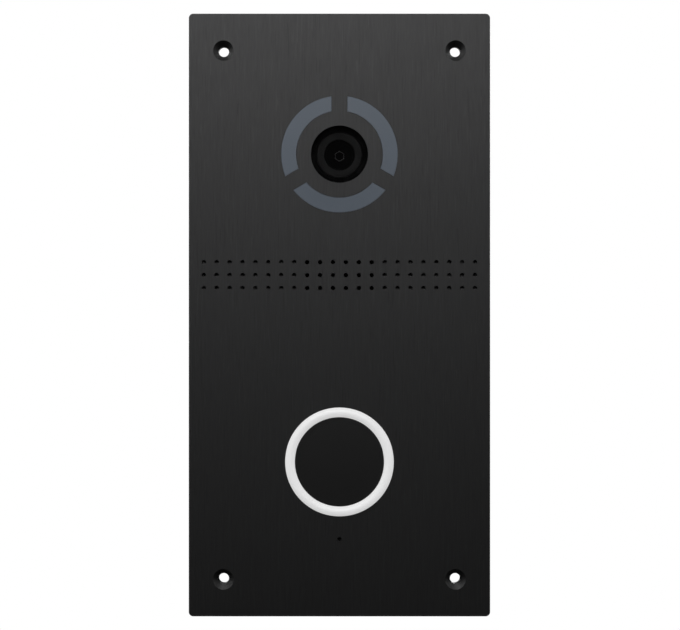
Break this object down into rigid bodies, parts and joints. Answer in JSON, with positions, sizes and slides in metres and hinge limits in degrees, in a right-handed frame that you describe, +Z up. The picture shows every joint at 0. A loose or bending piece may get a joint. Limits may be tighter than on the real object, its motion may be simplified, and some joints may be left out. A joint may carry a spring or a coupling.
{
  "type": "flush-mounted video doorbell",
  "caption": "Tall flat black door-entry panel with a round camera, broken illuminator ring, sound holes and a large call button in a white light ring.",
  "frame": {"origin": "centre of the face plate's back, on the plane that the four wall screws pull against the wall box", "axes": "+X to the right as seen from the street, +Y into the wall, +Z up the plate's long side"},
  "size_m": [0.12, 0.0393, 0.24],
  "materials": {
    "plate_black": "black anodised, brushed from top to bottom",
    "stud_steel": "copper-flashed steel",
    "foam_black": "closed-cell foam",
    "housing_plastic": "fine spark-eroded texture",
    "label_film": "blank satin silver polyester film",
    "screw_steel": "stainless steel",
    "window_glass": "clear, with a black printed border",
    "baffle_plastic": "matt black",
    "lens_black": "black anodised, matt",
    "lens_glass": "coated",
    "stop_metal": "blackened, slightly bright edge",
    "module_plastic": "glass-filled nylon",
    "filter_glass": "clear, and blue-green infrared stop",
    "magnet_grey": "sintered ferrite",
    "coil_copper": "enamelled copper wire",
    "sensor_glass": "glass-lidded ceramic",
    "board_green": "green solder mask",
    "bracket_metal": "die-cast",
    "pad_grey": "smoked blue-grey, satin face",
    "reflector_grey": "satin grey",
    "lamp_epoxy": "smoked epoxy",
    "ring_white": "opal, satin",
    "cap_black": "smooth satin black",
    "stem_white": "acetal",
    "seal_rubber": "moulded rubber",
    "spring_steel": "drawn wire",
    "lamp_white": "white package, yellow face",
    "switch_black": "moulded, with a bright cover",
    "mesh_black": "woven acoustic mesh",
    "basket_steel": "pressed, powder coated",
    "cone_paper": "mica-filled film",
    "clamp_steel": "zinc plated",
    "mic_metal": "drawn can",
    "chip_black": "moulded epoxy",
    "power_mix": "sleeved cans, ferrite and a moulded relay",
    "socket_black": "moulded",
    "terminal_green": "moulded",
    "connector_white": "natural nylon",
    "ribbon_white": "laminated film over copper",
    "lead_red": "red and black insulation"
  },
  "bodies": {
    "housing": {"face_plate": "plate_black", "weld_studs": "stud_steel", "stud_nuts": "screw_steel", "wall_gasket": "foam_black", "front_gasket": "foam_black", "carrier_frame": "housing_plastic", "rear_cover": "housing_plastic", "rating_label": "label_film", "rear_cover_seal": "seal_rubber", "rear_cover_screws": "screw_steel", "camera_window": "window_glass", "light_baffle": "baffle_plastic", "lens_barrel": "lens_black", "lens_stop": "stop_metal", "front_lens": "lens_glass", "inner_lenses": "lens_glass", "lens_lock_ring": "lens_black", "lens_holder": "module_plastic", "filter_coil": "coil_copper", "image_sensor": "sensor_glass", "camera_board": "board_green", "camera_bracket": "bracket_metal", "illuminator_window": "pad_grey", "illuminator_reflector": "reflector_grey", "illuminator_board": "board_green", "infrared_lamps": "lamp_epoxy", "light_sensor": "lamp_epoxy", "light_ring": "ring_white", "button_spring": "spring_steel", "button_pot": "module_plastic", "ring_lamp_board": "board_green", "ring_lamps": "lamp_white", "call_switch": "switch_black", "sound_mesh": "mesh_black", "speaker_gasket": "foam_black", "speaker_basket": "basket_steel", "speaker_surround": "seal_rubber", "speaker_magnet": "magnet_grey", "speaker_clamp": "clamp_steel", "microphone_membrane": "mesh_black", "microphone_boot": "seal_rubber", "microphone": "mic_metal", "main_board": "board_green", "main_board_chips": "chip_black", "power_parts": "power_mix", "network_socket": "socket_black", "terminal_blocks": "terminal_green", "board_connectors": "connector_white", "camera_ribbon": "ribbon_white", "internal_leads": "lead_red", "module_screws": "screw_steel"},
    "call_button": {"button_cap": "cap_black", "button_stem": "stem_white", "stem_oring": "seal_rubber", "switch_plunger": "stem_white"},
    "speaker_diaphragm": {"speaker_cone": "cone_paper", "voice_coil": "coil_copper"},
    "filter_carriage": {"filter_slide": "module_plastic", "filter_panes": "filter_glass"},
    "rotor": {"filter_rotor": "magnet_grey"}
  },
  "joints": [
    {"name": "call_button_press", "type": "slide", "parent": "housing", "child": "call_button", "axis": [0, 1, 0], "range_m": [0, 0.0006], "stiffness_N_per_m": 1500, "springref_m": -0.0012, "deforming": ["button_spring"]},
    {"name": "diaphragm_stroke", "type": "slide", "parent": "housing", "child": "speaker_diaphragm", "axis": [0, 1, 0], "range_m": [-0.0005, 0.0005], "stiffness_N_per_m": 1200, "deforming": ["speaker_surround"]},
    {"name": "filter_shift", "type": "slide", "parent": "housing", "child": "filter_carriage", "axis": [1, 0, 0], "range_m": [0, 0.007]},
    {"name": "filter_rotor_swing", "type": "hinge", "parent": "housing", "child": "rotor", "pos_m": [0, 0.018, 0.079], "axis": [0, -1, 0], "range_deg": [0, 45.8]}
  ],
  "couplings": [
    {"joint": "filter_rotor_swing", "follows": "filter_shift", "rad_per_m": 114.12}
  ]
}
